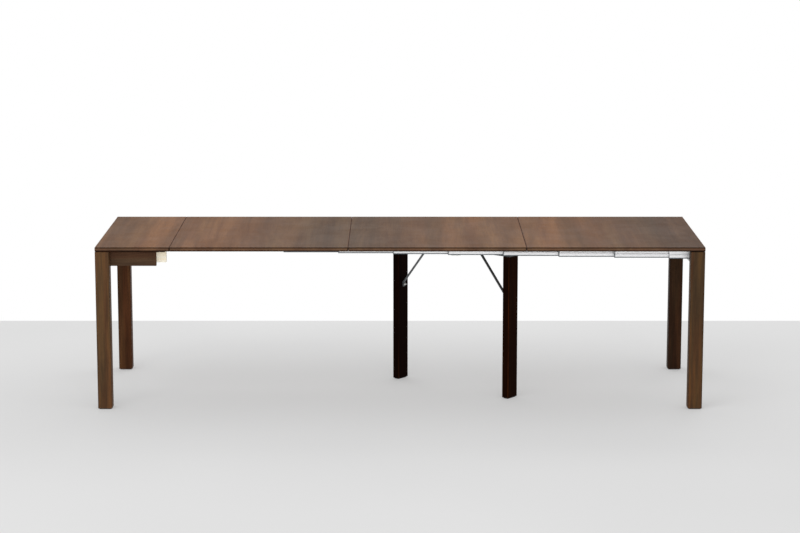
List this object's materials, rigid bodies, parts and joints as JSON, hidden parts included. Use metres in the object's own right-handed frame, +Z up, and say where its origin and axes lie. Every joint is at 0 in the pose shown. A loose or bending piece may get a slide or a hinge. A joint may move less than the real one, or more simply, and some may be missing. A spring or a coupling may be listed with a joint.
{
  "type": "extendable console table",
  "caption": "Console table drawn out on side-by-side telescopic rails, with loose leaves and a swivelling centre trestle.",
  "frame": {"origin": "on the floor, under the middle of the table when it is drawn out", "axes": "+X along the table towards the frame that stays put, +Y from the front edge to the rear edge, +Z up"},
  "size_m": [2.8, 0.9, 0.762],
  "materials": {
    "walnut": "satin walnut veneer",
    "dark_walnut": "dark stained wood",
    "plywood": "plain birch plywood",
    "aluminium": "satin anodised",
    "steel": "zinc plated",
    "plastic": "moulded"
  },
  "bodies": {
    "right_frame": {"right_end_apron": "walnut", "right_top_strip": "dark_walnut", "right_front_leg": "walnut", "right_rear_leg": "walnut", "right_front_anchor_rail": "aluminium", "right_rear_anchor_rail": "aluminium", "right_front_gusset": "aluminium", "right_rear_gusset": "aluminium", "right_front_glide": "plastic", "right_rear_glide": "plastic"},
    "left_frame": {"left_top_panel": "walnut", "left_sub_plate": "dark_walnut", "left_front_leg": "walnut", "left_rear_leg": "walnut", "left_end_apron": "walnut", "left_front_apron": "walnut", "left_rear_apron": "walnut", "left_front_liner": "plywood", "left_rear_liner": "plywood", "left_front_anchor_rail": "aluminium", "left_rear_anchor_rail": "aluminium", "left_front_glide": "plastic", "left_rear_glide": "plastic"},
    "rail_stage_1": {"front_rail_1": "aluminium", "rear_rail_1": "aluminium"},
    "rail_stage_2": {"front_rail_2": "aluminium", "rear_rail_2": "aluminium"},
    "rail_stage_3": {"front_rail_3": "aluminium", "rear_rail_3": "aluminium"},
    "rail_stage_4": {"front_rail_4": "aluminium", "rear_rail_4": "aluminium", "pivot_tie": "steel", "pivot_bolt": "steel", "pivot_nut": "steel"},
    "rail_stage_5": {"front_rail_5": "aluminium", "rear_rail_5": "aluminium"},
    "rail_stage_6": {"front_rail_6": "aluminium", "rear_rail_6": "aluminium"},
    "rail_stage_7": {"front_rail_7": "aluminium", "rear_rail_7": "aluminium"},
    "rail_stage_8": {"front_rail_8": "aluminium", "rear_rail_8": "aluminium"},
    "rail_stage_9": {"front_rail_9": "aluminium", "rear_rail_9": "aluminium"},
    "rail_stage_10": {"front_rail_10": "aluminium", "rear_rail_10": "aluminium"},
    "trestle": {"trestle_beam": "aluminium", "trestle_front_leg": "dark_walnut", "trestle_rear_leg": "dark_walnut", "trestle_front_glide": "plastic", "trestle_rear_glide": "plastic", "trestle_front_brace": "steel", "trestle_rear_brace": "steel", "trestle_front_knob": "steel", "trestle_rear_knob": "steel"},
    "leaf_1": {"leaf_1": "walnut"},
    "leaf_2": {"leaf_2": "walnut"},
    "leaf_3": {"leaf_3": "walnut"}
  },
  "joints": [
    {"name": "table_close", "type": "slide", "parent": "right_frame", "child": "left_frame", "axis": [1, 0, 0], "range_m": [0, 2.458]},
    {"name": "rail_stage_1_slide", "type": "slide", "parent": "right_frame", "child": "rail_stage_1", "axis": [1, 0, 0], "range_m": [0, 0.08401]},
    {"name": "rail_stage_2_slide", "type": "slide", "parent": "right_frame", "child": "rail_stage_2", "axis": [1, 0, 0], "range_m": [0, 0.34051]},
    {"name": "rail_stage_3_slide", "type": "slide", "parent": "right_frame", "child": "rail_stage_3", "axis": [1, 0, 0], "range_m": [0, 0.59701]},
    {"name": "rail_stage_4_slide", "type": "slide", "parent": "right_frame", "child": "rail_stage_4", "axis": [1, 0, 0], "range_m": [0, 0.85351]},
    {"name": "rail_stage_5_slide", "type": "slide", "parent": "right_frame", "child": "rail_stage_5", "axis": [1, 0, 0], "range_m": [0, 1.11001]},
    {"name": "rail_stage_6_slide", "type": "slide", "parent": "right_frame", "child": "rail_stage_6", "axis": [1, 0, 0], "range_m": [0, 1.36651]},
    {"name": "rail_stage_7_slide", "type": "slide", "parent": "right_frame", "child": "rail_stage_7", "axis": [1, 0, 0], "range_m": [0, 1.62301]},
    {"name": "rail_stage_8_slide", "type": "slide", "parent": "right_frame", "child": "rail_stage_8", "axis": [1, 0, 0], "range_m": [0, 1.87951]},
    {"name": "rail_stage_9_slide", "type": "slide", "parent": "right_frame", "child": "rail_stage_9", "axis": [1, 0, 0], "range_m": [0, 2.13601]},
    {"name": "rail_stage_10_slide", "type": "slide", "parent": "right_frame", "child": "rail_stage_10", "axis": [1, 0, 0], "range_m": [0, 2.39251]},
    {"name": "trestle_swivel", "type": "hinge", "parent": "rail_stage_4", "child": "trestle", "pos_m": [0.2605, 0, 0.69], "axis": [0, 0, -1], "range_deg": [0, 51]},
    {"name": "leaf_1_lift", "type": "slide", "parent": "right_frame", "child": "leaf_1", "axis": [0, 0, 1], "range_m": [0, 0.3001]},
    {"name": "leaf_2_lift", "type": "slide", "parent": "right_frame", "child": "leaf_2", "axis": [0, 0, 1], "range_m": [0, 0.3001]},
    {"name": "leaf_3_lift", "type": "slide", "parent": "right_frame", "child": "leaf_3", "axis": [0, 0, 1], "range_m": [0, 0.3001]}
  ],
  "couplings": [
    {"joint": "rail_stage_1_slide", "follows": "table_close", "ratio": 0.034174},
    {"joint": "rail_stage_2_slide", "follows": "table_close", "ratio": 0.13853},
    {"joint": "rail_stage_3_slide", "follows": "table_close", "ratio": 0.24288},
    {"joint": "rail_stage_4_slide", "follows": "table_close", "ratio": 0.34723},
    {"joint": "rail_stage_5_slide", "follows": "table_close", "ratio": 0.45159},
    {"joint": "rail_stage_6_slide", "follows": "table_close", "ratio": 0.55594},
    {"joint": "rail_stage_7_slide", "follows": "table_close", "ratio": 0.66029},
    {"joint": "rail_stage_8_slide", "follows": "table_close", "ratio": 0.76465},
    {"joint": "rail_stage_9_slide", "follows": "table_close", "ratio": 0.869},
    {"joint": "rail_stage_10_slide", "follows": "table_close", "ratio": 0.97335},
    {"joint": "trestle_swivel", "follows": "table_close", "rad_per_m": 0.36213},
    {"joint": "leaf_1_lift", "follows": "table_close", "ratio": 0.12205},
    {"joint": "leaf_2_lift", "follows": "table_close", "ratio": 0.12205},
    {"joint": "leaf_3_lift", "follows": "table_close", "ratio": 0.12205}
  ]
}
